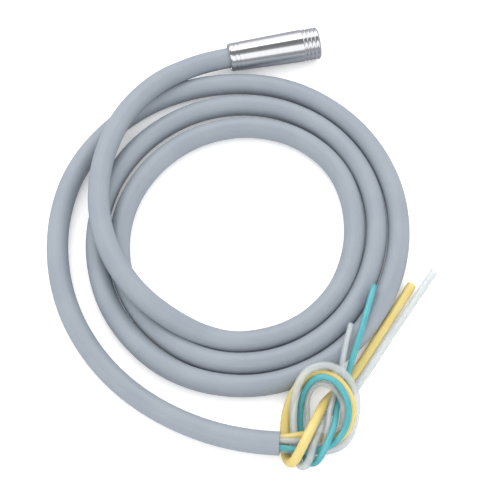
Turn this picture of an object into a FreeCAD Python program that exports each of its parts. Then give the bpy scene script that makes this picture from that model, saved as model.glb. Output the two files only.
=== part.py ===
import FreeCAD, Part
import math
import os

# A four-hole dental handpiece hose: a screw-on coupling, a soft jacket laid in
# loose turns, and four inner tubes that leave the cut jacket end in an overhand
# knot. Millimetres, +Z up, origin on the floor under the middle of the footprint.

V = FreeCAD.Vector

# Hose jacket
JACKET_OD = 9.5
JACKET_WALL = 0.6
JACKET_BORE = JACKET_OD - 2 * JACKET_WALL

# Inner tubes: outer diameter, bore, and place in the jacket (left, up)
TUBES = {
    "exhaust_tube": (4.1, 2.9, (1.95, -0.19)),
    "drive_air_tube": (3.4, 2.3, (-1.88, -1.47)),
    "water_tube": (2.7, 1.6, (-2.14, 1.69)),
    "chip_air_tube": (2.5, 1.4, (0.33, 2.81)),
}
STEMS = {
    "exhaust_stem": "exhaust_tube",
    "drive_air_stem": "drive_air_tube",
    "water_stem": "water_tube",
    "chip_air_stem": "chip_air_tube",
}
STEM_WALL = 0.3
# How much wider in radius a port is than the seat of the stem behind it
PORT_STEP = 0.3

# Coupling, with stations along its axis measured back from the nut's front face
NUT_LENGTH = 42.8
NUT_FRONT_OD = 15.0
NUT_REAR_OD = 13.2
NUT_STRAIGHT = 10.5
NUT_CHAMFER = 0.8
NUT_THREAD_BORE = 11.4
NUT_THREAD_LENGTH = 7.0
NUT_CHAMBER_WALL = 1.0
GRIP_GROOVES = 4
GRIP_FIRST = 1.9
GRIP_PITCH = 1.8
GRIP_WIDTH = 0.9
GRIP_DEPTH = 0.35
RING_GROOVES = (38.4, 40.3)
RING_WIDTH = 0.5
RING_DEPTH = 0.2
NUT_TRAVEL = 6.5
RUNNING_GAP = 0.2

GASKET_THICKNESS = 1.2
FACE_STATION = 8.6
FLANGE_LENGTH = 3.4
FLANGE_OD = 11.0
BARREL_OD = 9.8
BARREL_END = 20.6
CORE_END = 28.0
FRONT_WALL = 5.4
PLATE_LENGTH = 3.0
CAVITY_WALL = 0.4
SNAP_WIDTH = 0.8
SNAP_DEPTH = 0.3
WASHER_THICKNESS = 0.6
RING_SECTION = 0.7
RING_SEAT = 0.05
SLEEVE_START = 21.8
SLEEVE_LENGTH = 5.6
SLEEVE_WALL = 0.4
SEAT_GAP = 0.02
TUBE_START = 28.2
STEM_INSET = 2.0
STEM_REACH = 8.0

# Where things lie
PLAN_SHIFT = V(3.45, -4.32, 0)
NUT_FRONT = V(32.3, 105.75, 7.55)
AXIS_HEADING = 191.3
COIL_CENTRE = V(-0.9, 8.9, 0)
JACKET_START = 21.0
FLOOR = JACKET_OD / 2

# The lead from the coupling over the coil: angle, distance from the coil's centre, height
LEAD = [
    (109, 85.7, 9.8), (121, 82.2, 14.0), (137, 77.8, 14.8), (155, 72.0, 14.6),
    (173, 67.0, 14.6), (190, 63.7, 14.6), (206, 61.3, 15.0), (221, 59.8, 14.4),
    (236, 58.0, 11.0), (251, 57.0, 6.2),
]
# The turns on the floor and the tail: angle, distance from the coil's centre
TURNS = [
    (268, 56.7), (293, 54.7), (319, 51.5), (346, 48.7), (373, 48.8), (399, 51.5),
    (426, 53.0), (453, 53.4), (480, 53.6), (507, 54.6), (534, 57.1), (561, 61.0),
    (588, 65.2), (615, 68.3), (642, 66.6), (669, 62.9), (696, 59.0), (723, 58.5),
    (750, 60.5), (777, 63.5), (804, 65.5), (831, 66.3), (858, 66.4), (885, 67.3),
    (912, 69.7), (939, 74.1), (966, 78.2), (993, 78.0), (1020, 74.6), (1047, 70.2),
    (1074, 68.5), (1101, 69.7), (1128, 72.9), (1155, 76.7), (1182, 78.4), (1209, 81.6),
    (1236, 84.6), (1260, 85.8), (1284, 88.4), (1306, 91.8), (1326, 95.5),
]
# The cut end rests on the knot
TAIL_END = [V(-7.0, -92.3, 6.9), V(12.3, -93.5, 8.0)]

# The overhand knot and the bare ends, tube by tube
MOUTH_OUTSIDE = 3.0
# The share of the shorter run that an arc takes from each run beside it
RUN_SHARE = 0.45
KNOT = {
    "exhaust_tube": [
        (25.5, -88.5, 6), (28.5, -89.5, 5), (32, -90.5, 5), (36.5, -90.5, 5.5),
        (40.5, -86.5, 6), (42.5, -81, 8), (42, -75, 10), (39, -70, 12),
        (35, -66, 12.5), (29.5, -64, 12.5), (24.5, -64.5, 12), (20, -68.5, 9.5),
        (16.5, -74.5, 5), (14.5, -82, 3), (14.5, -91.5, 2.2), (15, -98.5, 2.2),
        (17.5, -102.5, 8.5), (20.5, -98.5, 13.5), (23.5, -92.5, 14), (27.5, -83.5, 11.5),
        (31, -75, 6), (35.5, -69.5, 2.5), (41, -65, 2.5), (45, -59.5, 2.3),
        (51, -50, 2.2), (57.5, -39.6, 2.2), (70.8, -18.3, 2.2),
    ],
    "drive_air_tube": [
        (25, -96, 5), (28, -95, 3.5), (31.5, -94.5, 2), (36.5, -93.5, 2),
        (41, -89.5, 2), (43.5, -83, 3.5), (45, -75, 6.5), (43, -68, 10.5),
        (38, -63, 13.5), (31, -61.5, 16), (23.5, -64, 16), (19.5, -70, 13.5),
        (18, -77, 8.5), (18, -83.5, 5), (18.5, -91, 3), (19, -98, 2),
        (21.5, -103, 5), (24, -102, 9.5), (25.5, -97, 12), (28, -90, 10),
        (30.5, -83, 6.5), (35, -76, 3), (39.5, -71.5, 2), (44.5, -67, 2),
        (49, -60.5, 2), (55.5, -50.3, 2), (64, -37, 2), (81.7, -10.5, 2),
    ],
    "water_tube": [
        (22, -97.5, 8.5), (26, -97, 7.8), (30, -96.5, 9.5), (35, -94, 10),
        (39, -89, 10.5), (41, -82.5, 11), (40.5, -76.5, 13.5), (37.5, -71.5, 15.5),
        (34, -68, 15.5), (29, -66.5, 15), (25, -68.5, 13), (22, -72, 8.5),
        (21, -77.5, 3), (21, -86, 2), (22, -94, 1.5), (23.5, -100.5, 3),
        (27.5, -102, 8), (30.5, -97.5, 13), (33, -92, 12.5), (35.5, -84, 10),
        (36, -76.5, 6), (38.5, -69.5, 5.5), (41, -64.5, 7), (42.5, -58.5, 10),
        (45.5, -50, 11.5), (49, -38.5, 11.5), (53.5, -23, 11.5),
    ],
    "chip_air_tube": [
        (22.5, -93, 9.5), (26, -92.5, 3.5), (30, -91, 1.5), (34, -90, 1.5),
        (37.5, -86, 3), (39, -80.5, 5.5), (38.5, -75.5, 9), (36, -71, 10.5),
        (32.5, -68.5, 10.5), (29, -67.5, 10), (26, -68.5, 8), (24, -72, 3.5),
        (24, -77.5, 1.5), (24, -86, 1.5), (24.5, -93, 1.3), (26.5, -98.5, 1.3),
        (29.5, -98.5, 5), (30.5, -93.5, 7.5), (32, -87.5, 10), (33, -80, 9.5),
        (35, -72.5, 7.5), (36.5, -67.5, 7.5), (38, -63.5, 9.5), (39, -58, 12),
        (40.5, -50, 11.5), (43, -41, 11.5),
    ],
}

UP = V(0, 0, 1)
AXIS = V(math.cos(math.radians(AXIS_HEADING)), math.sin(math.radians(AXIS_HEADING)), 0)


def station(distance):
    """The point on the coupling's axis at a station behind the nut's front face."""
    return NUT_FRONT + PLAN_SHIFT + AXIS * distance


def left_of(direction):
    """The level direction to the left of a heading."""
    return UP.cross(direction).normalize()


def around(angle, distance, height):
    """A point at an angle and a distance from the middle of the coil."""
    turn = math.radians(angle)
    flat = V(math.cos(turn), math.sin(turn), 0) * distance
    return COIL_CENTRE + PLAN_SHIFT + flat + V(0, 0, height)


def jacket_route():
    """The corners of the jacket's route, from the coupling to the cut end."""
    straight = [station(JACKET_START), station(36.0), station(52.0) + V(0, -0.5, 0.25)]
    lead = [around(*place) for place in LEAD]
    turns = [around(angle, distance, FLOOR) for angle, distance in TURNS]
    tail = [point + PLAN_SHIFT for point in TAIL_END]
    return straight + lead + turns + tail


def corner_heading(route, index):
    """The heading at one corner of a route, halfway between its two runs."""
    before = route[index] - route[max(index - 1, 0)]
    after = route[min(index + 1, len(route) - 1)] - route[index]
    heading = V(0, 0, 0)
    for run in (before, after):
        if run.Length > 0:
            heading += run / run.Length
    return heading.normalize()


def beside(route, index, offset):
    """A corner of a route moved to the left and up, for a tube inside the jacket."""
    heading = corner_heading(route, index)
    left = left_of(heading)
    return route[index] + left * offset[0] + heading.cross(left) * offset[1]


def tube_route(name, jacket):
    """The corners of one inner tube's route, from its stem to its bare end."""
    offset = TUBES[name][2]
    left = left_of(AXIS)
    start = station(TUBE_START) + left * offset[0] + UP * offset[1]
    inside = [beside(jacket, index, offset) for index in range(1, len(jacket) - 1)]
    end = jacket[-1]
    heading = (end - jacket[-2]).normalize()
    shift = left_of(heading) * offset[0] + UP * offset[1]
    mouth = end + heading * MOUTH_OUTSIDE + shift
    loose = [V(*place) + PLAN_SHIFT for place in KNOT[name]]
    return [start] + inside + [mouth] + loose


def bend(before, corner, after):
    """The largest fair arc at a corner: its two ends, its middle and its radius."""
    back = before - corner
    ahead = after - corner
    reach = RUN_SHARE * min(back.Length, ahead.Length)
    back.normalize()
    ahead.normalize()
    half = (math.pi - back.getAngle(ahead)) / 2
    radius = reach / math.tan(half)
    inward = (back + ahead).normalize()
    middle = corner + inward * radius * (1 / math.cos(half) - 1)
    return corner + back * reach, middle, corner + ahead * reach, radius


def fair_wire(route):
    """Straight runs joined by tangent arcs, with the radii of the arcs."""
    edges = []
    radii = []
    here = route[0]
    for before, corner, after in zip(route, route[1:], route[2:]):
        first, middle, last, radius = bend(before, corner, after)
        edges.append(Part.LineSegment(here, first).toShape())
        edges.append(Part.Arc(first, middle, last).toShape())
        radii.append(radius)
        here = last
    edges.append(Part.LineSegment(here, route[-1]).toShape())
    return Part.Wire(edges), radii


def swept_tube(name, route, outer, bore):
    """A hollow tube along a route, checked against its section times its length."""
    wire, radii = fair_wire(route)
    heading = (route[1] - route[0]).normalize()
    rims = [Part.Wire(Part.makeCircle(size / 2, route[0], heading)) for size in (outer, bore)]
    section_face = Part.Face(rims[0]).cut(Part.Face(rims[1])).Faces[0]
    solid = wire.makePipe(section_face).Solids[0]
    section = math.pi * (outer ** 2 - bore ** 2) / 4
    ratio = solid.Volume / (section * wire.Length)
    print(name, "length %.1f" % wire.Length, "volume ratio %.4f" % ratio,
          "tightest %.1f" % min(radii), "valid", solid.isValid())
    return solid


def turned(outline):
    """A solid of revolution about the coupling's axis from (radius, station) corners."""
    corners = [V(radius, 0, distance) for radius, distance in outline]
    face = Part.Face(Part.makePolygon(corners + corners[:1]))
    return face.revolve(V(0, 0, 0), V(0, 0, 1), 360)


def ring(inner, outer, start, end):
    """A plain ring about the axis."""
    return turned([(inner, start), (outer, start), (outer, end), (inner, end)])


def rod(radius, start, end, place=(0, 0)):
    """A round bar along the axis, beside it by a place to the left and up."""
    return Part.makeCylinder(radius, end - start, V(place[0], place[1], start))


def set_in_place(shape):
    """Carry a shape from the turning axis to where the coupling lies."""
    left = left_of(AXIS)
    origin = station(0)
    matrix = FreeCAD.Matrix(
        left.x, UP.x, AXIS.x, origin.x,
        left.y, UP.y, AXIS.y, origin.y,
        left.z, UP.z, AXIS.z, origin.z,
        0, 0, 0, 1)
    placed = shape.copy()
    placed.Placement = FreeCAD.Placement(matrix)
    return placed


def rear_bore():
    """The nut's rear bore, which runs over the clamp sleeve."""
    return JACKET_OD / 2 + SLEEVE_WALL + RUNNING_GAP


def washer_start():
    return FACE_STATION + FLANGE_LENGTH + RUNNING_GAP / 2


def coupling_nut():
    front = NUT_FRONT_OD / 2
    rear = NUT_REAR_OD / 2
    shoulder = washer_start() + WASHER_THICKNESS + RUNNING_GAP / 2
    chamber = front - NUT_CHAMBER_WALL
    thread = NUT_THREAD_BORE / 2
    lead_in = NUT_CHAMFER / 2
    body = turned([
        (thread + lead_in, 0), (front - NUT_CHAMFER, 0), (front, NUT_CHAMFER),
        (front, NUT_STRAIGHT), (rear, NUT_LENGTH - NUT_CHAMFER),
        (rear - NUT_CHAMFER / 2, NUT_LENGTH), (rear_bore(), NUT_LENGTH),
        (rear_bore(), shoulder), (chamber, shoulder), (chamber, NUT_THREAD_LENGTH),
        (thread, NUT_THREAD_LENGTH), (thread, lead_in)])
    for index in range(GRIP_GROOVES):
        middle = GRIP_FIRST + index * GRIP_PITCH
        half = GRIP_WIDTH / 2
        body = body.cut(turned([
            (front - GRIP_DEPTH, middle - half / 2), (front + 1, middle - half - 1),
            (front + 1, middle + half + 1), (front - GRIP_DEPTH, middle + half / 2)]))
    slope = (front - rear) / (NUT_LENGTH - NUT_CHAMFER - NUT_STRAIGHT)
    for middle in RING_GROOVES:
        floor = front - slope * (middle - NUT_STRAIGHT) - RING_DEPTH
        body = body.cut(ring(floor, front + 1, middle - RING_WIDTH / 2, middle + RING_WIDTH / 2))
    return body


def nut_thrust_washer():
    outer = NUT_FRONT_OD / 2 - NUT_CHAMBER_WALL - RUNNING_GAP / 2
    start = washer_start()
    return ring(BARREL_OD / 2 + RUNNING_GAP / 2, outer, start, start + WASHER_THICKNESS)


def seat_radius(tube):
    """The bore that holds a stem, which fills the tube's own bore."""
    return TUBES[tube][1] / 2 - SEAT_GAP


def port_radius(tube):
    """The port in front of a stem, which takes the handpiece's own tube."""
    return seat_radius(tube) + PORT_STEP


def ring_groove_floor():
    return FLANGE_OD / 2 - RING_SECTION


def stem_start():
    """The station where the ports end and the stems begin."""
    return FACE_STATION + FRONT_WALL - STEM_INSET


def connector_core():
    flange = FLANGE_OD / 2
    barrel = BARREL_OD / 2
    spigot = JACKET_BORE / 2 - SEAT_GAP
    flange_end = FACE_STATION + FLANGE_LENGTH
    cavity = spigot - CAVITY_WALL
    wall_end = FACE_STATION + FRONT_WALL
    snap = wall_end + PLATE_LENGTH
    body = turned([
        (0, FACE_STATION), (flange, FACE_STATION), (flange, flange_end),
        (barrel, flange_end), (barrel, BARREL_END), (spigot, BARREL_END),
        (spigot, CORE_END), (cavity, CORE_END), (cavity, snap + SNAP_WIDTH),
        (cavity + SNAP_DEPTH, snap + SNAP_WIDTH), (cavity + SNAP_DEPTH, snap),
        (cavity, snap), (cavity, wall_end), (0, wall_end)])
    middle = FACE_STATION + FLANGE_LENGTH / 2
    half = RING_SECTION / 2 + RING_SEAT
    body = body.cut(ring(ring_groove_floor(), flange + 1, middle - half, middle + half))
    for tube, sizes in TUBES.items():
        body = body.cut(rod(port_radius(tube), FACE_STATION - 1, stem_start(), sizes[2]))
        body = body.cut(rod(seat_radius(tube), FACE_STATION - 1, wall_end + 1, sizes[2]))
    return body


def stem_plate():
    start = FACE_STATION + FRONT_WALL + SEAT_GAP
    radius = JACKET_BORE / 2 - CAVITY_WALL - 2 * SEAT_GAP
    plate = rod(radius, start, start + PLATE_LENGTH - 2 * SEAT_GAP)
    for tube, sizes in TUBES.items():
        plate = plate.cut(rod(seat_radius(tube), start - 1, start + PLATE_LENGTH + 1, sizes[2]))
    return plate


def stem_snap_ring():
    start = FACE_STATION + FRONT_WALL + PLATE_LENGTH + SEAT_GAP
    outer = JACKET_BORE / 2 - SEAT_GAP - CAVITY_WALL + SNAP_DEPTH - SEAT_GAP
    inner = outer - SNAP_DEPTH - 0.05
    whole = ring(inner, outer, start, start + SNAP_WIDTH - 2 * SEAT_GAP)
    gap = Part.makeBox(1.6, 10, 4, V(-0.8, -10, start - 1))
    return whole.cut(gap)


def face_gasket():
    gasket = rod(NUT_THREAD_BORE / 2 - RUNNING_GAP, FACE_STATION - GASKET_THICKNESS, FACE_STATION)
    for tube, sizes in TUBES.items():
        hole = rod(port_radius(tube), FACE_STATION - 3, FACE_STATION + 1, sizes[2])
        gasket = gasket.cut(hole)
    return gasket


def core_o_ring():
    middle = FACE_STATION + FLANGE_LENGTH / 2
    radius = RING_SECTION / 2
    return Part.makeTorus(ring_groove_floor() + radius + SEAT_GAP, radius, V(0, 0, middle))


def jacket_clamp_sleeve():
    inner = JACKET_OD / 2 + SEAT_GAP
    return ring(inner, inner + SLEEVE_WALL - SEAT_GAP, SLEEVE_START, SLEEVE_START + SLEEVE_LENGTH)


def stem(tube):
    outer, bore, place = TUBES[tube]
    radius = seat_radius(tube) - SEAT_GAP
    start = stem_start()
    end = TUBE_START + STEM_REACH
    shaft = rod(radius, start, end, place)
    return shaft.cut(rod(radius - STEM_WALL, start - 1, end + 1, place))


def mount_line(name, point, direction, radius, length):
    """The middle of a mount's wall, the way its mate leaves, and its size."""
    middle = point - direction * length / 2
    print("mount", name, "at", [round(value, 4) for value in middle],
          "axis", [round(value, 6) for value in direction],
          "radius %.3f length %.3f" % (radius, length))


os.makedirs("parts", exist_ok=True)
nodes = {
    "coupling_nut": set_in_place(coupling_nut()),
    "nut_thrust_washer": set_in_place(nut_thrust_washer()),
    "connector_core": set_in_place(connector_core()),
    "stem_plate": set_in_place(stem_plate()),
    "stem_snap_ring": set_in_place(stem_snap_ring()),
    "face_gasket": set_in_place(face_gasket()),
    "core_o_ring": set_in_place(core_o_ring()),
    "jacket_clamp_sleeve": set_in_place(jacket_clamp_sleeve()),
}
for name, tube in STEMS.items():
    nodes[name] = set_in_place(stem(tube))

jacket = jacket_route()
nodes["hose_jacket"] = swept_tube("hose_jacket", jacket, JACKET_OD, JACKET_BORE)
for name, (outer, bore, place) in TUBES.items():
    route = tube_route(name, jacket)
    nodes[name] = swept_tube(name, route, outer, bore)
    last = route[-1] - route[-2]
    straight = last.Length - RUN_SHARE * min(last.Length, (route[-2] - route[-3]).Length)
    mount_line(name + "_end", route[-1], last.normalize(), bore / 2, straight)

print("joint nut_slide range", NUT_TRAVEL, "axis", [round(value, 6) for value in AXIS])
lead_in = NUT_CHAMFER / 2
mount_line("nut_thread", station(lead_in), AXIS * -1, NUT_THREAD_BORE / 2,
           NUT_THREAD_LENGTH - lead_in)
gasket_face = FACE_STATION - GASKET_THICKNESS
port_length = stem_start() - gasket_face
for name, tube in STEMS.items():
    place = TUBES[tube][2]
    face = station(gasket_face) + left_of(AXIS) * place[0] + UP * place[1]
    mount_line(name + "_port", face, AXIS * -1, port_radius(tube), port_length)

box = FreeCAD.BoundBox()
for name, shape in nodes.items():
    shape.exportStep("parts/" + name + ".step")
    box.add(shape.BoundBox)
print(len(nodes), "nodes; box", box)
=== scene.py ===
# %% [markdown]
# # A dental handpiece hose, step by step
# This lesson dresses a packed design: a soft grey hose with a chrome coupling at one
# end and four coloured inner tubes tied in a knot at the other. The design holds every
# size and place, so the first cell loads it and keeps its box to compare at the end.

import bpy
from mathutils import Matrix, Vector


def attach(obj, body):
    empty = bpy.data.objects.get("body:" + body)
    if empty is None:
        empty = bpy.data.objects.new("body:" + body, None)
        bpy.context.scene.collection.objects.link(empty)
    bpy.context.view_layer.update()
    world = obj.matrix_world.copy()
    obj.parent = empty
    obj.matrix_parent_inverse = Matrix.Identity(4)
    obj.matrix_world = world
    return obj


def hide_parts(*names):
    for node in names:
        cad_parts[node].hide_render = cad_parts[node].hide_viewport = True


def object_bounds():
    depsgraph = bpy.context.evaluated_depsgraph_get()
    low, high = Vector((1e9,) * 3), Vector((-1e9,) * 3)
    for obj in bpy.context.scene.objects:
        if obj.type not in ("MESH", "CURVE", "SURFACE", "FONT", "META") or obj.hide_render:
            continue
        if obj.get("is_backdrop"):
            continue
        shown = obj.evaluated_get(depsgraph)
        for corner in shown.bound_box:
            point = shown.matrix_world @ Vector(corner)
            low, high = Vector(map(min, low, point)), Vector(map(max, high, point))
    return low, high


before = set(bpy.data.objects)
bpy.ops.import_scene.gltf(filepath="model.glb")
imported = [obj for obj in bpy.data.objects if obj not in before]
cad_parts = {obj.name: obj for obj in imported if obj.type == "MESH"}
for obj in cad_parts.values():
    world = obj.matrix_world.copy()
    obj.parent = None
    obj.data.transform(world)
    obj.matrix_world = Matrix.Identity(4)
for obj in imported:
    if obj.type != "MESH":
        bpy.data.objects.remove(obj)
frame_box = [list(corner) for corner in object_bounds()]
print("nodes:", len(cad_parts), "box:", frame_box)

# %% [markdown]
# ## Tools and units
# Blender's own modules make meshes and matrices. The design's sizes are in millimetres
# and Blender's are in metres, so one factor turns the first into the second.

# %% Import Blender's modules
import math

import bmesh
import bpy
from mathutils import Matrix, Vector

MM = 0.001
print("one millimetre is", MM)

# %% [markdown]
# ## The camera
# A product shot like this one is taken from above, a little to the near side, with a
# long lens that keeps the circles round. The camera looks at a point on the floor near
# the middle of the coil, and its tilt is the angle away from straight down.

# %% Set the camera
PLAN_SHIFT = Vector((3.45, -4.32, 0.0)) * MM
CAMERA_TILT = math.radians(27.0)
CAMERA_DISTANCE = 0.6782
CAMERA_LENS = 109.9

camera_data = bpy.data.cameras.new("camera")
camera_data.lens = CAMERA_LENS
camera_data.sensor_width = 36.0
camera_data.clip_start = 0.01
camera = bpy.data.objects.new("camera", camera_data)
bpy.context.scene.collection.objects.link(camera)
stand = Vector((0.0, -math.sin(CAMERA_TILT), math.cos(CAMERA_TILT))) * CAMERA_DISTANCE
camera.location = PLAN_SHIFT + stand
camera.rotation_euler = (CAMERA_TILT, 0.0, 0.0)
bpy.context.scene.camera = camera
print("camera at", [round(value, 3) for value in camera.location])

# %% [markdown]
# ## The hose's route
# A hose keeps the curve it was wound in. Its route is a list of corners, chosen turn by
# turn: an angle around the middle of the coil, a distance from it, and a height where it
# rides over other turns. The same corners set the design's tube, here scaled to metres.

# %% Corners of the route
JACKET_OD = 9.5 * MM
JACKET_BORE = 8.3 * MM
NUT_FRONT = Vector((32.3, 105.75, 7.55)) * MM
AXIS_HEADING = math.radians(191.3)
COIL_CENTRE = Vector((-0.9, 8.9, 0.0)) * MM
UP = Vector((0.0, 0.0, 1.0))
AXIS = Vector((math.cos(AXIS_HEADING), math.sin(AXIS_HEADING), 0.0))
JACKET_STATIONS = (21.0, 36.0, 52.0)
FIRST_BEND = Vector((0.0, -0.5, 0.25)) * MM
ON_FLOOR = 4.75

LEAD = [
    (109, 85.7, 9.8), (121, 82.2, 14.0), (137, 77.8, 14.8), (155, 72.0, 14.6),
    (173, 67.0, 14.6), (190, 63.7, 14.6), (206, 61.3, 15.0), (221, 59.8, 14.4),
    (236, 58.0, 11.0), (251, 57.0, 6.2),
]
TURNS = [
    (268, 56.7), (293, 54.7), (319, 51.5), (346, 48.7), (373, 48.8), (399, 51.5),
    (426, 53.0), (453, 53.4), (480, 53.6), (507, 54.6), (534, 57.1), (561, 61.0),
    (588, 65.2), (615, 68.3), (642, 66.6), (669, 62.9), (696, 59.0), (723, 58.5),
    (750, 60.5), (777, 63.5), (804, 65.5), (831, 66.3), (858, 66.4), (885, 67.3),
    (912, 69.7), (939, 74.1), (966, 78.2), (993, 78.0), (1020, 74.6), (1047, 70.2),
    (1074, 68.5), (1101, 69.7), (1128, 72.9), (1155, 76.7), (1182, 78.4), (1209, 81.6),
    (1236, 84.6), (1260, 85.8), (1284, 88.4), (1306, 91.8), (1326, 95.5),
]
TAIL_END = [(-7.0, -92.3, 6.9), (12.3, -93.5, 8.0)]


def station(distance):
    """The point on the coupling's axis so many millimetres behind the nut's front."""
    return NUT_FRONT + PLAN_SHIFT + AXIS * distance * MM


def around(angle, distance, height):
    """A point at an angle, a distance and a height from the middle of the coil."""
    turn = math.radians(angle)
    flat = Vector((math.cos(turn), math.sin(turn), 0.0)) * distance * MM
    return COIL_CENTRE + PLAN_SHIFT + flat + UP * height * MM


straight = [station(distance) for distance in JACKET_STATIONS]
straight[-1] += FIRST_BEND
lead = [around(*place) for place in LEAD]
turns = [around(angle, distance, ON_FLOOR) for angle, distance in TURNS]
tail = [Vector(point) * MM + PLAN_SHIFT for point in TAIL_END]
jacket_corners = straight + lead + turns + tail
print("corners of the jacket's route:", len(jacket_corners))

# %% [markdown]
# ## The inner tubes' routes
# Each inner tube starts on its stem in the coupling, keeps its place beside the jacket's
# middle for the whole length, and leaves through the cut end. There the four of them
# were tied together in one overhand knot, so each has its own list of corners through it.

# %% Corners of the inner tubes
# Each tube's outside, its bore, and its place in the jacket to the left and up
TUBES = {
    "exhaust_tube": (4.1, 2.9, (1.95, -0.19)),
    "drive_air_tube": (3.4, 2.3, (-1.88, -1.47)),
    "water_tube": (2.7, 1.6, (-2.14, 1.69)),
    "chip_air_tube": (2.5, 1.4, (0.33, 2.81)),
}
TUBE_START = 28.2
MOUTH_OUTSIDE = 3.0 * MM

KNOT = {
    "exhaust_tube": [
        (25.5, -88.5, 6), (28.5, -89.5, 5), (32, -90.5, 5), (36.5, -90.5, 5.5),
        (40.5, -86.5, 6), (42.5, -81, 8), (42, -75, 10), (39, -70, 12),
        (35, -66, 12.5), (29.5, -64, 12.5), (24.5, -64.5, 12), (20, -68.5, 9.5),
        (16.5, -74.5, 5), (14.5, -82, 3), (14.5, -91.5, 2.2), (15, -98.5, 2.2),
        (17.5, -102.5, 8.5), (20.5, -98.5, 13.5), (23.5, -92.5, 14), (27.5, -83.5, 11.5),
        (31, -75, 6), (35.5, -69.5, 2.5), (41, -65, 2.5), (45, -59.5, 2.3),
        (51, -50, 2.2), (57.5, -39.6, 2.2), (70.8, -18.3, 2.2),
    ],
    "drive_air_tube": [
        (25, -96, 5), (28, -95, 3.5), (31.5, -94.5, 2), (36.5, -93.5, 2),
        (41, -89.5, 2), (43.5, -83, 3.5), (45, -75, 6.5), (43, -68, 10.5),
        (38, -63, 13.5), (31, -61.5, 16), (23.5, -64, 16), (19.5, -70, 13.5),
        (18, -77, 8.5), (18, -83.5, 5), (18.5, -91, 3), (19, -98, 2),
        (21.5, -103, 5), (24, -102, 9.5), (25.5, -97, 12), (28, -90, 10),
        (30.5, -83, 6.5), (35, -76, 3), (39.5, -71.5, 2), (44.5, -67, 2),
        (49, -60.5, 2), (55.5, -50.3, 2), (64, -37, 2), (81.7, -10.5, 2),
    ],
    "water_tube": [
        (22, -97.5, 8.5), (26, -97, 7.8), (30, -96.5, 9.5), (35, -94, 10),
        (39, -89, 10.5), (41, -82.5, 11), (40.5, -76.5, 13.5), (37.5, -71.5, 15.5),
        (34, -68, 15.5), (29, -66.5, 15), (25, -68.5, 13), (22, -72, 8.5),
        (21, -77.5, 3), (21, -86, 2), (22, -94, 1.5), (23.5, -100.5, 3),
        (27.5, -102, 8), (30.5, -97.5, 13), (33, -92, 12.5), (35.5, -84, 10),
        (36, -76.5, 6), (38.5, -69.5, 5.5), (41, -64.5, 7), (42.5, -58.5, 10),
        (45.5, -50, 11.5), (49, -38.5, 11.5), (53.5, -23, 11.5),
    ],
    "chip_air_tube": [
        (22.5, -93, 9.5), (26, -92.5, 3.5), (30, -91, 1.5), (34, -90, 1.5),
        (37.5, -86, 3), (39, -80.5, 5.5), (38.5, -75.5, 9), (36, -71, 10.5),
        (32.5, -68.5, 10.5), (29, -67.5, 10), (26, -68.5, 8), (24, -72, 3.5),
        (24, -77.5, 1.5), (24, -86, 1.5), (24.5, -93, 1.3), (26.5, -98.5, 1.3),
        (29.5, -98.5, 5), (30.5, -93.5, 7.5), (32, -87.5, 10), (33, -80, 9.5),
        (35, -72.5, 7.5), (36.5, -67.5, 7.5), (38, -63.5, 9.5), (39, -58, 12),
        (40.5, -50, 11.5), (43, -41, 11.5),
    ],
}


def left_of(direction):
    """The level direction to the left of a heading."""
    return UP.cross(direction).normalized()


def beside(route, index, offset):
    """A corner of a route moved to the left and up by an offset in millimetres."""
    before = (route[index] - route[index - 1]).normalized()
    after = (route[index + 1] - route[index]).normalized()
    heading = (before + after).normalized()
    left = left_of(heading)
    return route[index] + (left * offset[0] + heading.cross(left) * offset[1]) * MM


def tube_corners(name):
    """The corners of one inner tube, from its stem to its bare end."""
    offset = TUBES[name][2]
    start = station(TUBE_START) + (left_of(AXIS) * offset[0] + UP * offset[1]) * MM
    inside = [beside(jacket_corners, i, offset) for i in range(1, len(jacket_corners) - 1)]
    end = jacket_corners[-1]
    heading = (end - jacket_corners[-2]).normalized()
    shift = (left_of(heading) * offset[0] + UP * offset[1]) * MM
    mouth = end + heading * MOUTH_OUTSIDE + shift
    return [start] + inside + [mouth] + [Vector(p) * MM + PLAN_SHIFT for p in KNOT[name]]


print("corners of the exhaust tube:", len(tube_corners("exhaust_tube")))

# %% [markdown]
# ## Smooth lines from corners
# A NURBS spline of order three pulls a smooth line through a list of corners, the way a
# springy tube would. Its order and its end setting count only once the points exist.
# Turning the bare curve into a mesh gives the points along it, in order.

# %% Read points along a smooth line
def smooth_line(name, corners, steps):
    """Points along a NURBS spline with these corners as its control points."""
    data = bpy.data.curves.new(name, "CURVE")
    data.dimensions = "3D"
    data.resolution_u = steps
    spline = data.splines.new("NURBS")
    spline.points.add(len(corners) - 1)
    for point, corner in zip(spline.points, corners):
        point.co = (*corner, 1.0)
    spline.order_u = 3
    spline.use_endpoint_u = True
    curve = bpy.data.objects.new(name, data)
    bpy.context.scene.collection.objects.link(curve)
    bpy.context.view_layer.update()
    mesh = bpy.data.meshes.new_from_object(curve)
    points = [vertex.co.copy() for vertex in mesh.vertices]
    bpy.data.objects.remove(curve)
    bpy.data.meshes.remove(mesh)
    return points


def line_length(points):
    return sum((b - a).length for a, b in zip(points, points[1:]))


LINE_STEPS = 16
jacket_line = smooth_line("jacket_line", jacket_corners, LINE_STEPS)
print("jacket line: %d points, %.3f m" % (len(jacket_line), line_length(jacket_line)))

# %% [markdown]
# ## Where the rings of a tube go
# A long tube needs few rings where it runs straight and many where it bends. So the
# points are thinned: one is kept when the line has turned by a small angle since the
# last, or has run on for a set distance. A set of axes is carried along without
# twisting, and each place also keeps how far along the tube it is.

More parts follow.
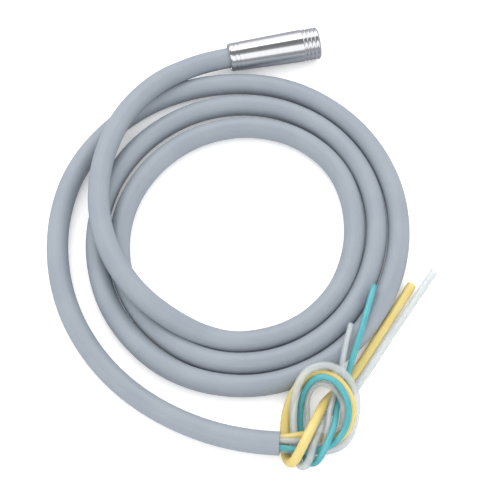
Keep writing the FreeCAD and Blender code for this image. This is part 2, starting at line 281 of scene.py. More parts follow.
# %% Thin the points and carry axes along
def thinned(points, turn, reach):
    """The points where a line has turned by an angle or run on for a distance."""
    kept = [points[0]]
    heading = (points[1] - points[0]).normalized()
    run = 0.0
    for before, point, after in zip(points, points[1:], points[2:]):
        run += (point - before).length
        ahead = (after - point).normalized()
        if ahead.angle(heading) > turn or run > reach:
            kept.append(point)
            heading = ahead
            run = 0.0
    return kept + [points[-1]]


def places_along(points):
    """Each point of a line with its side, up and forward axes and its distance."""
    side = left_of((points[1] - points[0]).normalized())
    places = []
    travelled = 0.0
    last = len(points) - 1
    for index, point in enumerate(points):
        ahead = points[min(index + 1, last)] - points[max(index - 1, 0)]
        heading = ahead.normalized()
        side = (side - heading * side.dot(heading)).normalized()
        if index:
            travelled += (point - points[index - 1]).length
        places.append((point, side, heading.cross(side), heading, travelled))
    return places


JACKET_FINE = (math.radians(2.5), 2.5 * MM)
JACKET_COARSE = (math.radians(8.0), 10 * MM)
print("rings on the jacket:", len(thinned(jacket_line, *JACKET_FINE)), "outside and",
      len(thinned(jacket_line, *JACKET_COARSE)), "inside")

# %% [markdown]
# ## The wall of a hollow tube
# A curve with a bevel can't show a wall, so the wall is a plan of rings: along the
# outside, over a rounded lip, back along the bore, and over the other lip to close.
# Each ring is a matrix that carries a unit circle into place, and it also says where
# the ring would be if the tube were pulled straight, for patterns that follow it.

# %% Plan the rings of a wall
LIP_ANGLES = [math.radians(angle) for angle in (25, 50, 75, 105, 130, 155)]


def ring_at(place, radius, ahead, widen):
    """One ring of the plan: its matrix, and its radius and distance pulled straight."""
    point, side, up, heading, travelled = place
    origin = point + heading * ahead
    columns = (side * radius * widen, up * radius / widen, heading, origin)
    matrix = Matrix([[column[row] for column in columns] for row in range(3)])
    matrix.resize_4x4()
    return matrix, radius, travelled + ahead


def ring_plan(line, outer, bore, lip, swell, fine, coarse):
    """Every ring of a closed wall, in order."""
    outside = places_along(thinned(line, *fine))
    inside = places_along(thinned(line, *coarse))
    middle, reach = (outer + bore) / 2, (outer - bore) / 2
    total = outside[-1][4]
    scale = total / inside[-1][4]
    inside = [place[:4] + (place[4] * scale,) for place in inside]
    ends = {0: lip, len(outside) - 1: -lip}
    plan = [ring_at(place, outer, ends.get(index, 0.0), swell(total - place[4]))
            for index, place in enumerate(outside)]
    for angle in LIP_ANGLES:
        ahead = lip * (math.sin(angle) - 1.0)
        plan.append(ring_at(outside[-1], middle + reach * math.cos(angle), ahead, swell(0.0)))
    ends = {0: lip, len(inside) - 1: -lip}
    plan += [ring_at(place, bore, ends.get(index, 0.0), swell(total - place[4]))
             for index, place in reversed(list(enumerate(inside)))]
    for angle in reversed(LIP_ANGLES):
        ahead = lip * (1.0 - math.sin(angle))
        plan.append(ring_at(outside[0], middle + reach * math.cos(angle), ahead, 1.0))
    return plan


print("rings on a lip:", len(LIP_ANGLES))

# %% [markdown]
# ## Wrapping a grid round the rings
# With the plan made, the mesh is simple. A flat grid has one row for each ring and one
# column for each step round it. Each row is carried onto its ring, and the edges that
# then meet are merged, which closes the tube both ways.

# %% Make a tube from a plan
def finished(name, bm):
    """A smooth mesh object at the origin from a bmesh."""
    mesh = bpy.data.meshes.new(name)
    bm.to_mesh(mesh)
    bm.free()
    mesh.shade_smooth()
    piece = bpy.data.objects.new(name, mesh)
    bpy.context.scene.collection.objects.link(piece)
    print(name, "faces:", len(mesh.polygons))
    return piece


def tube_from(name, plan, sides):
    """A closed tube wall: a grid wrapped round a plan of rings."""
    bm = bmesh.new()
    straight = bm.verts.layers.float_vector.new("straight")
    rows = len(plan)
    bmesh.ops.create_grid(bm, x_segments=rows, y_segments=sides, size=0.5)
    for vert in bm.verts:
        matrix, radius, along = plan[round((vert.co.x + 0.5) * rows) % rows]
        angle = 2 * math.pi * (vert.co.y + 0.5)
        spot = Vector((math.cos(angle), math.sin(angle), 0.0))
        vert[straight] = (spot.x * radius, spot.y * radius, along)
        vert.co = matrix @ spot
    bmesh.ops.remove_doubles(bm, verts=bm.verts, dist=0.002 * MM)
    bmesh.ops.recalc_face_normals(bm, faces=bm.faces)
    return finished(name, bm)


def true_round(_):
    """The section of a tube that is round all along."""
    return 1.0


print("a tube is a grid wrapped round its rings")

# %% [markdown]
# ## The jacket
# The jacket is soft silicone with a thin wall. Where it was cut, the end has relaxed: it
# is a little wider than it is high for the last few centimetres.

# %% Make the jacket
SPREAD_LENGTH = 60 * MM
SPREAD = 0.06
JACKET_LIP = 0.22 * MM
JACKET_SIDES = 40


def relaxed_end(to_end):
    """How much wider than high the jacket is, this far from its cut end."""
    share = max(0.0, 1.0 - to_end / SPREAD_LENGTH)
    return 1.0 + SPREAD * share * share * (3.0 - 2.0 * share)


jacket_plan = ring_plan(jacket_line, JACKET_OD / 2, JACKET_BORE / 2, JACKET_LIP, relaxed_end,
                        JACKET_FINE, JACKET_COARSE)
jacket = tube_from("jacket", jacket_plan, JACKET_SIDES)
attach(jacket, "hose")
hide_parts("hose_jacket")

# %% [markdown]
# ## The inner tubes
# Four thin-walled plastic tubes carry exhaust air, drive air, water and chip air. Each
# is swept in the same way. Rings are close together in the knot, where the bends are
# small, and the thinning spreads them out inside the jacket by itself.

# %% Make the inner tubes
TUBE_SLOTS = {
    "exhaust_tube": "yellow_tube",
    "drive_air_tube": "clear_tube",
    "water_tube": "teal_tube",
    "chip_air_tube": "clear_tube",
}
TUBE_PIECES = {
    "exhaust_tube": "yellow_exhaust_tube",
    "drive_air_tube": "clear_drive_air_tube",
    "water_tube": "teal_water_tube",
    "chip_air_tube": "clear_chip_air_tube",
}
TUBE_FINE = (math.radians(5.0), 6 * MM)
TUBE_COARSE = (math.radians(9.0), 12 * MM)
TUBE_LIP = 0.15 * MM
TUBE_SIDES = 28

tube_pieces = {}
for node, (outer, bore, _) in TUBES.items():
    line = smooth_line(node + "_line", tube_corners(node), LINE_STEPS)
    plan = ring_plan(line, outer / 2 * MM, bore / 2 * MM, TUBE_LIP, true_round,
                     TUBE_FINE, TUBE_COARSE)
    piece = tube_from(TUBE_PIECES[node], plan, TUBE_SIDES)
    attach(piece, "hose")
    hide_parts(node)
    tube_pieces[node] = piece
    print(node, "length %.3f m" % line_length(line))

# %% [markdown]
# ## The coupling nut's outline
# The nut is turned from bar, so half of its section, spun about its axis, is the whole
# of it. The outline runs along the outside with four grip grooves near the front and two
# thin rings near the back, and returns through the bore. The bore opens out at the back,
# so that the hose can bend there without rubbing. The outline is drawn as (radius,
# station) pairs in millimetres, where a station is a distance back from the front face.

# %% Draw the nut's outline
FRONT_R, REAR_R, NUT_LENGTH = 7.5, 6.6, 42.8
NUT_STRAIGHT, CHAMFER = 10.5, 0.8
THREAD_MINOR, THREAD_MAJOR, THREAD_END = 5.7, 6.08, 7.0
CHAMBER_R, SHOULDER, REAR_BORE = 6.5, 12.8, 5.35
GRIPS = [1.9, 3.7, 5.5, 7.3]
GRIP_SHAPE = [(-0.66, 0.0), (-0.5, 0.12), (-0.28, 0.29), (0.0, 0.35), (0.28, 0.29),
              (0.5, 0.12), (0.66, 0.0)]
RINGS = [38.4, 40.3]
RING_HALF, RING_FLOOR_HALF, RING_DEPTH = 0.25, 0.18, 0.2
REAR_FLARE, FLARE_LENGTH = 0.45, 2.6
LEAD_IN, CHAMBER_STEP = 0.2, 0.3


def taper(distance):
    """The nut's outside radius at a station on its long cone."""
    share = (distance - NUT_STRAIGHT) / (NUT_LENGTH - CHAMFER - NUT_STRAIGHT)
    return FRONT_R + (REAR_R - FRONT_R) * share


outline = [(THREAD_MAJOR + LEAD_IN, 0.0), (FRONT_R - CHAMFER, 0.0), (FRONT_R, CHAMFER)]
for middle in GRIPS:
    outline += [(FRONT_R - depth, middle + across) for across, depth in GRIP_SHAPE]
outline.append((FRONT_R, NUT_STRAIGHT))
for middle in RINGS:
    floor_r = taper(middle) - RING_DEPTH
    outline += [(taper(middle - RING_HALF), middle - RING_HALF),
                (floor_r, middle - RING_FLOOR_HALF), (floor_r, middle + RING_FLOOR_HALF),
                (taper(middle + RING_HALF), middle + RING_HALF)]
outline += [(REAR_R, NUT_LENGTH - CHAMFER), (REAR_R - CHAMFER / 2, NUT_LENGTH),
            (REAR_BORE + REAR_FLARE, NUT_LENGTH), (REAR_BORE, NUT_LENGTH - FLARE_LENGTH),
            (REAR_BORE, SHOULDER), (CHAMBER_R, SHOULDER), (CHAMBER_R, THREAD_END + CHAMBER_STEP),
            (THREAD_MAJOR, THREAD_END), (THREAD_MAJOR, LEAD_IN)]
print("corners in the nut's outline:", len(outline))

# %% [markdown]
# ## Spinning and rounding
# Spin turns the outline into a closed shell. Its edges would then be razor sharp, so the
# sharp ones get a small bevel, which is what catches the light on turned metal. The spun
# shape keeps its place on the lathe as an attribute, for the tool marks, and a matrix
# carries it to where the coupling lies.

# %% Spin an outline
left = left_of(AXIS)
front_point = station(0.0)
ON_AXIS = Matrix((
    (left.x, UP.x, AXIS.x, front_point.x),
    (left.y, UP.y, AXIS.y, front_point.y),
    (left.z, UP.z, AXIS.z, front_point.z),
    (0.0, 0.0, 0.0, 1.0)))


def spin_outline(bm, corners, steps):
    """Spins a closed outline of (radius, station) corners about the lathe's axis."""
    verts = [bm.verts.new((radius * MM, 0.0, distance * MM)) for radius, distance in corners]
    edges = [bm.edges.new(pair) for pair in zip(verts, verts[1:] + verts[:1])]
    bmesh.ops.spin(bm, geom=verts + edges, cent=(0, 0, 0), axis=(0, 0, 1), dvec=(0, 0, 0),
                   angle=2 * math.pi, steps=steps, use_merge=True, use_duplicate=False)
    bmesh.ops.remove_doubles(bm, verts=bm.verts, dist=0.001 * MM)
    bmesh.ops.recalc_face_normals(bm, faces=bm.faces)


def round_corners(bm, width, sharper_than):
    """Bevels the ring edges whose faces meet at more than an angle."""
    sharp = [edge for edge in bm.edges
             if len(edge.link_faces) == 2 and edge.calc_face_angle() > sharper_than]
    bmesh.ops.bevel(bm, geom=sharp, offset=width, offset_type="OFFSET", segments=2,
                    profile=0.5, affect="EDGES", material=-1, clamp_overlap=True)


def keep_lathe_place(bm):
    """Stores where each point was on the lathe, then carries all to the coupling."""
    straight = bm.verts.layers.float_vector.new("straight")
    for vert in bm.verts:
        vert[straight] = vert.co
    bmesh.ops.transform(bm, matrix=ON_AXIS, verts=bm.verts)


print("front of the nut at", [round(value, 4) for value in front_point])

# %% [markdown]
# ## The thread
# The nut screws onto a handpiece, so its front bore is threaded. A thread is a tooth
# carried round and along at once. Spin does this when it also steps forward each time.
# The tooth's foot is sunk in the wall, and it fades out at both ends.

# %% Make the nut and its thread
THREAD_PITCH = 0.9
THREAD_START = 0.9
THREAD_RUN_OUT = 0.5
TOOTH_SUNK = 0.06
CREST_HALF = 0.07
TURN_STEPS = 72
NUT_STEPS = 144


def add_thread(bm):
    """A helical tooth inside the front bore."""
    before = set(bm.verts)
    half = THREAD_PITCH * 0.44
    foot = THREAD_MAJOR + TOOTH_SUNK
    tooth = [(foot, -half), (THREAD_MINOR, -CREST_HALF), (THREAD_MINOR, CREST_HALF),
             (foot, half)]
    verts = [bm.verts.new((radius * MM, 0.0, (THREAD_START + distance) * MM))
             for radius, distance in tooth]
    face = bm.faces.new(verts)
    length = THREAD_END - THREAD_RUN_OUT - THREAD_START
    count = int(length / THREAD_PITCH * TURN_STEPS)
    bmesh.ops.spin(bm, geom=[face], cent=(0, 0, 0), axis=(0, 0, 1),
                   dvec=(0, 0, THREAD_PITCH * MM / TURN_STEPS),
                   angle=2 * math.pi * count / TURN_STEPS, steps=count,
                   use_merge=False, use_duplicate=False)
    made = [vert for vert in bm.verts if vert not in before]
    fade_thread(made, count)
    faces = {face for vert in made for face in vert.link_faces}
    bmesh.ops.recalc_face_normals(bm, faces=list(faces))


def fade_thread(verts, count):
    """Draws the tooth's crest back into the wall over its first and last quarter turn."""
    low = THREAD_START * MM
    high = low + THREAD_PITCH * MM * count / TURN_STEPS
    reach = THREAD_PITCH * MM / 4
    for vert in verts:
        radius = math.hypot(vert.co.x, vert.co.y)
        if radius > THREAD_MAJOR * MM:
            continue
        share = min(1.0, max(0.0, min(vert.co.z - low, high - vert.co.z) / reach))
        wanted = THREAD_MAJOR * MM + (THREAD_MINOR - THREAD_MAJOR) * MM * share
        vert.co.x *= wanted / radius
        vert.co.y *= wanted / radius


bm = bmesh.new()
spin_outline(bm, outline, NUT_STEPS)
round_corners(bm, 0.07 * MM, math.radians(22.0))
add_thread(bm)
keep_lathe_place(bm)
nut = finished("nut_shell", bm)
nut.data.set_sharp_from_angle(angle=math.radians(38.0))
even = nut.modifiers.new("even_normals", "WEIGHTED_NORMAL")
even.keep_sharp = True
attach(nut, "nut")
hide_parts("coupling_nut")

# %% [markdown]
# ## Shared surface effects
# Several finishes need the same effects, so each effect is a node group, built once. A
# group takes a vector and a few sizes, and gives back heights and masks only. The
# shader that uses them stays in each material.

# %% Make a helper for node groups
def effect(name, inputs, outputs):
    """A new node group with named inputs and outputs, and its two end nodes."""
    group = bpy.data.node_groups.new(name, "ShaderNodeTree")
    for label, kind, value in inputs:
        socket = group.interface.new_socket(label, in_out="INPUT", socket_type=kind)
        if value is not None:
            socket.default_value = value
    for label in outputs:
        group.interface.new_socket(label, in_out="OUTPUT", socket_type="NodeSocketFloat")
    return group, group.nodes.new("NodeGroupInput"), group.nodes.new("NodeGroupOutput")


def joined(tree, *links):
    """Links pairs of sockets in a node tree."""
    for source, target in links:
        tree.links.new(source, target)


def noise_node(tree, detail, roughness):
    node = tree.nodes.new("ShaderNodeTexNoise")
    node.inputs["Detail"].default_value = detail
    node.inputs["Roughness"].default_value = roughness
    return node


print("effects are made with effect() and joined()")

# %% [markdown]
# ## Drawn streaks
# A hose is pushed through a die and a nut is cut on a lathe, and both leave fine lines in
# one direction. Noise that is squeezed much more across than along makes such lines. One
# group serves both: the two scales say how many lines there are in each direction.

# %% Make the streak effect
streak_group, ends, out = effect(
    "die_and_lathe_lines",
    [("Vector", "NodeSocketVector", None), ("Across", "NodeSocketFloat", 600.0),
     ("Along", "NodeSocketFloat", 20.0)],
    ["Height", "Mask"])
squeeze = streak_group.nodes.new("ShaderNodeCombineXYZ")
squeezed = streak_group.nodes.new("ShaderNodeVectorMath")
squeezed.operation = "MULTIPLY"
lines = noise_node(streak_group, 4.0, 0.6)
lines.inputs["Scale"].default_value = 1.0
mask = streak_group.nodes.new("ShaderNodeMapRange")
mask.inputs["From Min"].default_value = 0.38
mask.inputs["From Max"].default_value = 0.66
joined(streak_group,
       (ends.outputs["Across"], squeeze.inputs["X"]), (ends.outputs["Across"], squeeze.inputs["Y"]),
       (ends.outputs["Along"], squeeze.inputs["Z"]), (ends.outputs["Vector"], squeezed.inputs[0]),
       (squeeze.outputs["Vector"], squeezed.inputs[1]),
       (squeezed.outputs["Vector"], lines.inputs["Vector"]),
       (lines.outputs["Fac"], out.inputs["Height"]), (lines.outputs["Fac"], mask.inputs["Value"]),
       (mask.outputs["Result"], out.inputs["Mask"]))
print("made", streak_group.name)

# %% [markdown]
# ## Grain and handling marks
# Soft rubber has a very fine grain, and everything that is handled gathers faint cloudy
# patches where it is a little cleaner or duller. Both are noise, at scales far apart, so
# they share a group with two outputs.

# %% Make the grain and patch effect
grain_group, ends, out = effect(
    "grain_and_patches",
    [("Vector", "NodeSocketVector", None), ("Grain Scale", "NodeSocketFloat", 4000.0),
     ("Patch Scale", "NodeSocketFloat", 45.0)],
    ["Grain", "Patches"])
grain = noise_node(grain_group, 3.0, 0.55)
patch = noise_node(grain_group, 4.0, 0.6)
spread = grain_group.nodes.new("ShaderNodeMapRange")
spread.interpolation_type = "SMOOTHSTEP"
spread.inputs["From Min"].default_value = 0.36
spread.inputs["From Max"].default_value = 0.68
joined(grain_group,
       (ends.outputs["Vector"], grain.inputs["Vector"]),
       (ends.outputs["Vector"], patch.inputs["Vector"]),
       (ends.outputs["Grain Scale"], grain.inputs["Scale"]),
       (ends.outputs["Patch Scale"], patch.inputs["Scale"]),
       (grain.outputs["Fac"], out.inputs["Grain"]), (patch.outputs["Fac"], spread.inputs["Value"]),
       (spread.outputs["Result"], out.inputs["Patches"]))
print("made", grain_group.name)

# %% [markdown]
# ## Specks
# Dust and tiny pits are separate spots. Noise can't make those, but a Voronoi texture
# gives the distance to scattered points, and a narrow range of it leaves small dots.

# %% Make the speck effect
speck_group, ends, out = effect(
    "dust_specks",
    [("Vector", "NodeSocketVector", None), ("Scale", "NodeSocketFloat", 700.0),
     ("Size", "NodeSocketFloat", 0.12)],
    ["Specks"])
dots = speck_group.nodes.new("ShaderNodeTexVoronoi")
dots.inputs["Randomness"].default_value = 1.0
where = noise_node(speck_group, 2.0, 0.5)
where.inputs["Scale"].default_value = 160.0
sparse = speck_group.nodes.new("ShaderNodeMapRange")
sparse.inputs["From Min"].default_value = 0.5
sparse.inputs["From Max"].default_value = 0.62
dot = speck_group.nodes.new("ShaderNodeMapRange")
dot.inputs["From Min"].default_value = 0.0
dot.inputs["To Min"].default_value = 1.0
dot.inputs["To Max"].default_value = 0.0
both = speck_group.nodes.new("ShaderNodeMath")
both.operation = "MULTIPLY"
joined(speck_group,
       (ends.outputs["Vector"], dots.inputs["Vector"]), (ends.outputs["Vector"], where.inputs["Vector"]),
       (ends.outputs["Scale"], dots.inputs["Scale"]), (dots.outputs["Distance"], dot.inputs["Value"]),
       (ends.outputs["Size"], dot.inputs["From Max"]), (where.outputs["Fac"], sparse.inputs["Value"]),
       (dot.outputs["Result"], both.inputs[0]), (sparse.outputs["Result"], both.inputs[1]),
       (both.outputs["Value"], out.inputs["Specks"]))
print("made", speck_group.name)

# %% [markdown]
# ## Helpers for finishes
# Every finish starts in the same way: a material with a Principled shader, whose constant
# values are set on its own sockets. Colours are mixed by a mask, roughness is a mask
# mapped to a range, and heights go to a Bump node in real millimetres.

# %% Make helpers for finishes
def linear(red, green, blue):
    """A screen colour from 0 to 255 as a linear colour for a shader."""
    made = []
    for value in (red, green, blue):
        share = value / 255.0
        made.append(share / 12.92 if share <= 0.04045 else ((share + 0.055) / 1.055) ** 2.4)
    return (*made, 1.0)


def finish_named(name, **sockets):
    """A material with a Principled shader and constant values on its sockets."""
    material = bpy.data.materials.new(name)
    material.use_nodes = True
    shader = material.node_tree.nodes["Principled BSDF"]
    for label, value in sockets.items():
        shader.inputs[label.replace("_", " ")].default_value = value
    return material, material.node_tree, shader


def place_node(tree, attribute=None):
    """The socket that gives where a point is: on the straightened piece, or in the room."""
    if attribute:
        node = tree.nodes.new("ShaderNodeAttribute")
        node.attribute_name = attribute
        return node.outputs["Vector"]
    return tree.nodes.new("ShaderNodeTexCoord").outputs["Object"]


def effect_node(tree, group, place, **values):
    """One use of a shared effect."""
    node = tree.nodes.new("ShaderNodeGroup")
    node.node_tree = group
    tree.links.new(place, node.inputs["Vector"])
    for label, value in values.items():
        node.inputs[label.replace("_", " ")].default_value = value
    return node


def mixed_colour(tree, mask, first, second):
    """A colour that goes from the first to the second by a mask."""
    node = tree.nodes.new("ShaderNodeMix")
    node.data_type = "RGBA"
    tree.links.new(mask, node.inputs["Factor"])
    for index, colour in ((6, first), (7, second)):
        if isinstance(colour, tuple):
            node.inputs[index].default_value = colour
        else:
            tree.links.new(colour, node.inputs[index])
    return node.outputs[2]


def between(tree, mask, low, high):
    """A value that goes from low to high by a mask."""
    node = tree.nodes.new("ShaderNodeMapRange")
    node.inputs["To Min"].default_value = low
    node.inputs["To Max"].default_value = high
    tree.links.new(mask, node.inputs["Value"])
    return node.outputs["Result"]


def bumped(tree, height, depth, normal=None, strength=1.0):
    """The normal of a surface with a height of so many metres."""
    node = tree.nodes.new("ShaderNodeBump")
    node.inputs["Strength"].default_value = strength
    node.inputs["Distance"].default_value = depth
    tree.links.new(height, node.inputs["Height"])
    if normal:
        tree.links.new(normal, node.inputs["Normal"])
    return node.outputs["Normal"]


def dress(piece, material):
    """Gives a piece one material for all its faces."""
    piece.data.materials.clear()
    piece.data.materials.append(material)


print("helpers ready")

# %% [markdown]
# ## Jacket silicone
# The jacket is a light bluish grey silicone with a satin skin. It shows faint lines from
# the die along its length, a very fine grain, a few specks of dust, and softly duller
# patches. A little light passes into it, which softens the shading.

# %% Dress the jacket
silicone, tree, shader = finish_named(
    "jacket_silicone", Subsurface_Weight=0.12, Subsurface_Radius=(0.9, 0.95, 1.0),
    Subsurface_Scale=0.0012, Specular_IOR_Level=0.42)
place = place_node(tree, "straight")
die = effect_node(tree, streak_group, place, Across=1500.0, Along=9.0)
skin = effect_node(tree, grain_group, place, Grain_Scale=5200.0, Patch_Scale=38.0)
dust = effect_node(tree, speck_group, place, Scale=520.0, Size=0.13)
grey = mixed_colour(tree, skin.outputs["Patches"], linear(137, 145, 154), linear(143, 150, 158))
grey = mixed_colour(tree, between(tree, die.outputs["Mask"], 0.0, 0.35), grey,
                    linear(132, 139, 148))
grey = mixed_colour(tree, between(tree, dust.outputs["Specks"], 0.0, 0.3), grey,
                    linear(214, 218, 222))
joined(tree, (grey, shader.inputs["Base Color"]),
       (between(tree, skin.outputs["Patches"], 0.40, 0.50), shader.inputs["Roughness"]))
normal = bumped(tree, die.outputs["Height"], 0.012 * MM)
normal = bumped(tree, skin.outputs["Grain"], 0.006 * MM, normal)
joined(tree, (normal, shader.inputs["Normal"]))
dress(jacket, silicone)
print("dressed", jacket.name)

# %% [markdown]
# ## Translucent tubes
# The inner tubes are polyurethane. Light goes through them and scatters on the way, so
# they look tinted and milky, not like glass. Scattering under the surface gives the milky
# body, and a low alpha lets what is behind each thin wall show a little. Towards a tube's
# edges the eye looks through more wall, so it is darker and hides more there. Extruded
# tubes keep faint lines along them, and the colour is a little uneven.

# %% Dress the inner tubes
TUBE_LOOKS = {
    "yellow_tube": ((228, 209, 140), (221, 199, 118), (214, 186, 104), 0.8, 0.3),
    "teal_tube": ((92, 180, 186), (72, 164, 172), (52, 140, 152), 0.8, 0.3),
    "clear_tube": ((224, 229, 231), (212, 219, 221), (148, 162, 168), 0.22, 0.25),
}


def tube_finish(name, pale, deep, edge, body, roughness):
    """A translucent extruded plastic. body is how much each wall hides."""
    material, tree, shader = finish_named(
        name, Subsurface_Weight=0.45, Subsurface_Radius=(1.0, 0.9, 0.8),
        Subsurface_Scale=0.002, Coat_Weight=0.6, Coat_Roughness=0.12)
    place = place_node(tree, "straight")
    die = effect_node(tree, streak_group, place, Across=2600.0, Along=14.0)
    skin = effect_node(tree, grain_group, place, Grain_Scale=3000.0, Patch_Scale=70.0)
    tint = mixed_colour(tree, skin.outputs["Patches"], linear(*pale), linear(*deep))
    tint = mixed_colour(tree, between(tree, die.outputs["Mask"], 0.0, 0.3), tint, linear(*deep))
    slant = tree.nodes.new("ShaderNodeLayerWeight")
    slant.inputs["Blend"].default_value = 0.4
    tint = mixed_colour(tree, slant.outputs["Facing"], tint, linear(*edge))
    hidden = between(tree, slant.outputs["Facing"], body, min(1.0, body + 0.5))
    rough = between(tree, skin.outputs["Patches"], roughness, roughness + 0.08)
    normal = bumped(tree, die.outputs["Height"], 0.008 * MM)
    joined(tree, (tint, shader.inputs["Base Color"]), (rough, shader.inputs["Roughness"]),
           (hidden, shader.inputs["Alpha"]), (normal, shader.inputs["Normal"]))
    return material


tube_materials = {name: tube_finish(name, *look) for name, look in TUBE_LOOKS.items()}
for node, piece in tube_pieces.items():
    dress(piece, tube_materials[TUBE_SLOTS[node]])
print("dressed", len(tube_pieces), "tubes")

# %% [markdown]
# ## Turned and plated metal
# Chrome over turned brass keeps the lathe's fine rings under the plating. Rings go around
# the axis, so the noise is squeezed along it and hardly changes across. Handling leaves
# faint dull patches and a few hairline pits.

# %% Make the metal finishes
def metal_finish(name, bright, dull, low, high, rings, attribute=None, depth=0.004):
    """A turned or drawn metal. rings is (across, along) for its tool marks."""
    material, tree, shader = finish_named(name, Metallic=1.0)
    place = place_node(tree, attribute)
    tool = effect_node(tree, streak_group, place, Across=rings[0], Along=rings[1])
    skin = effect_node(tree, grain_group, place, Grain_Scale=6000.0, Patch_Scale=110.0)
    pits = effect_node(tree, speck_group, place, Scale=900.0, Size=0.09)
    colour = mixed_colour(tree, tool.outputs["Mask"], bright, dull)
    rough = between(tree, skin.outputs["Patches"], low, high)
    both = tree.nodes.new("ShaderNodeMath")
    both.operation = "MULTIPLY_ADD"
    both.inputs[1].default_value = 0.25
    joined(tree, (pits.outputs["Specks"], both.inputs[0]), (rough, both.inputs[2]),
           (both.outputs["Value"], shader.inputs["Roughness"]),
           (colour, shader.inputs["Base Color"]))
    normal = bumped(tree, tool.outputs["Height"], depth * MM)
    joined(tree, (normal, shader.inputs["Normal"]))
    return material


chrome = metal_finish("nut_chrome", linear(236, 237, 238), linear(218, 220, 223), 0.10, 0.17,
                      (25.0, 9000.0), "straight", 0.0025)
dress(nut, chrome)
print("dressed", nut.name)

# %% [markdown]
# ## Parts kept from the design
# The core, its plate, stems, washer, rings and gasket are right as they are, and mostly
# out of sight, so they stay as designed and only get better materials. Their meshes have
# no lathe place, so the tool marks use the place in the room, turned to the coupling's
# axis by a Mapping node.

# %% Dress the kept metal parts
def turned_finish(name, bright, dull, low, high, rings):
    """A metal finish whose tool marks go around the coupling's axis."""
    material = metal_finish(name, bright, dull, low, high, rings)
    tree = material.node_tree
    coords = next(node for node in tree.nodes if node.bl_idname == "ShaderNodeTexCoord")
    targets = [link.to_socket for link in coords.outputs["Object"].links]
    turn = tree.nodes.new("ShaderNodeMapping")
    turn.vector_type = "POINT"
    to_lathe = ON_AXIS.inverted()
    turn.inputs["Location"].default_value = to_lathe.to_translation()
    turn.inputs["Rotation"].default_value = to_lathe.to_euler("XYZ")
    tree.links.new(coords.outputs["Object"], turn.inputs["Vector"])
    for target in targets:
        tree.links.new(turn.outputs["Vector"], target)
    return material


METAL_PARTS = {
    "connector_core": ("core_aluminium", (208, 210, 214), (190, 192, 197), 0.24, 0.34),
    "nut_thrust_washer": ("washer_steel", (190, 190, 192), (168, 168, 170), 0.28, 0.4),
    "stem_snap_ring": ("spring_steel", (150, 152, 156), (120, 122, 126), 0.3, 0.42),
    "jacket_clamp_sleeve": ("sleeve_steel", (196, 197, 199), (172, 173, 176), 0.22, 0.34),
    "exhaust_stem": ("stem_steel", (200, 201, 203), (180, 181, 183), 0.18, 0.28),
}
metals = {}
for node, (name, bright, dull, low, high) in METAL_PARTS.items():
    metals[node] = turned_finish(name, linear(*bright), linear(*dull), low, high, (40.0, 7000.0))
for node in ("drive_air_stem", "water_stem", "chip_air_stem"):
    metals[node] = metals["exhaust_stem"]
for node, material in metals.items():
    dress(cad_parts[node], material)
print("dressed", len(metals), "metal parts")

# %% [markdown]
# ## Kept rubber and plastic parts
# The face gasket and the sealing ring are black rubber with a fine grain and a bloom of
# pale dust, and the stem plate is moulded plastic with a spark-eroded grain.

# %% Dress the kept soft parts
def moulded_finish(name, dark, pale, low, high, grain, depth):
    """A moulded rubber or plastic with a fine grain."""
    material, tree, shader = finish_named(name, Specular_IOR_Level=0.4)
    place = place_node(tree)
    skin = effect_node(tree, grain_group, place, Grain_Scale=grain, Patch_Scale=160.0)
    dust = effect_node(tree, speck_group, place, Scale=800.0, Size=0.16)
    colour = mixed_colour(tree, skin.outputs["Patches"], dark, pale)
    colour = mixed_colour(tree, between(tree, dust.outputs["Specks"], 0.0, 0.35), colour,
                          linear(150, 150, 148))
    joined(tree, (colour, shader.inputs["Base Color"]),
           (between(tree, skin.outputs["Patches"], low, high), shader.inputs["Roughness"]),
           (bumped(tree, skin.outputs["Grain"], depth * MM), shader.inputs["Normal"]))
    return material


SOFT_PARTS = {
    "face_gasket": ("gasket_rubber", (52, 53, 56), (66, 67, 70), 0.5, 0.65, 4200.0, 0.012),
    "core_o_ring": ("seal_rubber", (38, 38, 40), (50, 50, 52), 0.35, 0.5, 6000.0, 0.006),
    "stem_plate": ("plate_plastic", (84, 87, 92), (98, 101, 106), 0.45, 0.6, 3000.0, 0.02),
}
for node, (name, dark, pale, low, high, grain, depth) in SOFT_PARTS.items():
    dress(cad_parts[node],
          moulded_finish(name, linear(*dark), linear(*pale), low, high, grain, depth))
print("dressed", len(SOFT_PARTS), "soft parts")

# %% [markdown]
# ## The stage
# The hose lies on a pale matte table that is lit until it is white, so only a faint
# shadow shows around the hose, and the narrow gaps between the turns stay dark. In the
# nut's reflection the table is made greyer, so the nut's edges stand out from it.

# %% Lay the floor
bm = bmesh.new()
bmesh.ops.create_grid(bm, x_segments=2, y_segments=2, size=3.0)
floor = finished("table_top", bm)
floor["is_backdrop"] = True
paper, tree, shader = finish_named("pale_paper", Roughness=0.9, Specular_IOR_Level=0.1,
                                   Emission_Strength=0.22)
skin = effect_node(tree, grain_group, place_node(tree), Grain_Scale=900.0, Patch_Scale=4.0)
pale = mixed_colour(tree, skin.outputs["Patches"], (0.90, 0.90, 0.90, 1.0),
                    (0.92, 0.92, 0.92, 1.0))
ray = tree.nodes.new("ShaderNodeLightPath")
pale = mixed_colour(tree, ray.outputs["Is Glossy Ray"], pale, (0.24, 0.25, 0.28, 1.0))
joined(tree, (pale, shader.inputs["Base Color"]), (pale, shader.inputs["Emission Color"]))
dress(floor, paper)
print("floor at z =", floor.location.z)

# %% [markdown]
# ## Light
# Soft light comes from all round, as in a light tent, so matte things are lit evenly.
# Polished metal also shows what is around it: white walls to both sides, and overhead
# the darker gap in the tent where the camera looks in. So the sky is banded by the
# angle around the left-to-right line, but only for reflections.

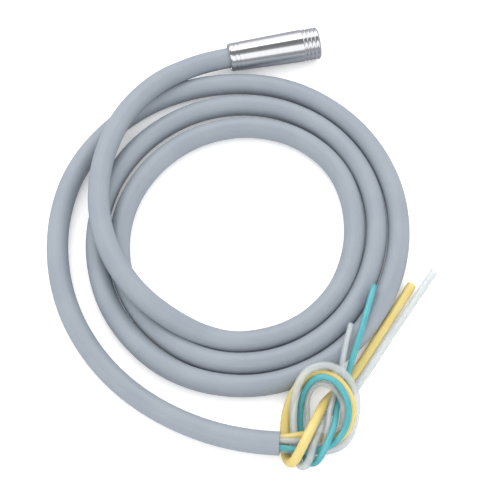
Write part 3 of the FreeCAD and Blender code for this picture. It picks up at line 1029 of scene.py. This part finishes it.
# %% Light the stage
TENT_BANDS = [(0.0, 0.45), (0.38, 0.40), (0.50, 0.20), (0.56, 0.26), (0.585, 0.80),
              (0.675, 0.80), (0.70, 0.20), (0.76, 0.12), (0.82, 0.24), (0.85, 0.80),
              (0.94, 0.80), (0.965, 0.45), (1.0, 0.30)]


def light_tent(bands, even, strength):
    """A world that is even for matte things and banded by angle for reflections."""
    world = bpy.data.worlds.new("light_tent")
    world.use_nodes = True
    tree = world.node_tree
    coords = tree.nodes.new("ShaderNodeTexCoord")
    parts = tree.nodes.new("ShaderNodeSeparateXYZ")
    near = tree.nodes.new("ShaderNodeMath")
    near.operation = "MULTIPLY"
    near.inputs[1].default_value = -1.0
    angle = tree.nodes.new("ShaderNodeMath")
    angle.operation = "ARCTAN2"
    turn = tree.nodes.new("ShaderNodeMapRange")
    turn.inputs["From Min"].default_value = -math.pi
    turn.inputs["From Max"].default_value = math.pi
    ramp = tree.nodes.new("ShaderNodeValToRGB")
    while len(ramp.color_ramp.elements) < len(bands):
        ramp.color_ramp.elements.new(0.5)
    for element, (position, grey) in zip(ramp.color_ramp.elements, bands):
        element.position = position
        element.color = (grey, grey, grey * 1.02, 1.0)
    ray = tree.nodes.new("ShaderNodeLightPath")
    seen = tree.nodes.new("ShaderNodeMix")
    seen.data_type = "RGBA"
    seen.inputs[6].default_value = even
    background = tree.nodes["Background"]
    background.inputs["Strength"].default_value = strength
    joined(tree, (coords.outputs["Generated"], parts.inputs["Vector"]),
           (parts.outputs["Y"], near.inputs[0]), (parts.outputs["Z"], angle.inputs[0]),
           (near.outputs["Value"], angle.inputs[1]), (angle.outputs["Value"], turn.inputs["Value"]),
           (turn.outputs["Result"], ramp.inputs["Fac"]),
           (ray.outputs["Is Glossy Ray"], seen.inputs["Factor"]),
           (ramp.outputs["Color"], seen.inputs[7]), (seen.outputs[2], background.inputs["Color"]))
    return world


def soft_lamp(name, place, target, size, power):
    """A large area lamp that looks at a target."""
    data = bpy.data.lights.new(name, "AREA")
    data.shape = "RECTANGLE"
    data.size, data.size_y = size
    data.energy = power
    lamp = bpy.data.objects.new(name, data)
    bpy.context.scene.collection.objects.link(lamp)
    lamp.location = place
    lamp.rotation_euler = (Vector(target) - Vector(place)).to_track_quat("-Z", "Y").to_euler()
    return lamp


scene = bpy.context.scene
scene.world = light_tent(TENT_BANDS, (1.0, 1.0, 1.0, 1.0), 1.5)
scene.view_settings.view_transform = "Standard"
scene.view_settings.look = "None"
soft_lamp("far_window", (-0.15, 0.55, 0.75), (0.0, 0.0, 0.0), (0.7, 0.5), 2.0)
print("bands in the tent:", len(TENT_BANDS))

# %% [markdown]
# ## Check and finish
# The last cell compares the box of what is shown with the design's box, and hands the
# scene over.

# %% Compare boxes and finish
shown_box = [list(corner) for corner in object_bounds()]
for name, design, shown in zip(("low", "high"), frame_box, shown_box):
    print(name, [round((b - a) * 1000, 2) for a, b in zip(design, shown)], "mm apart")
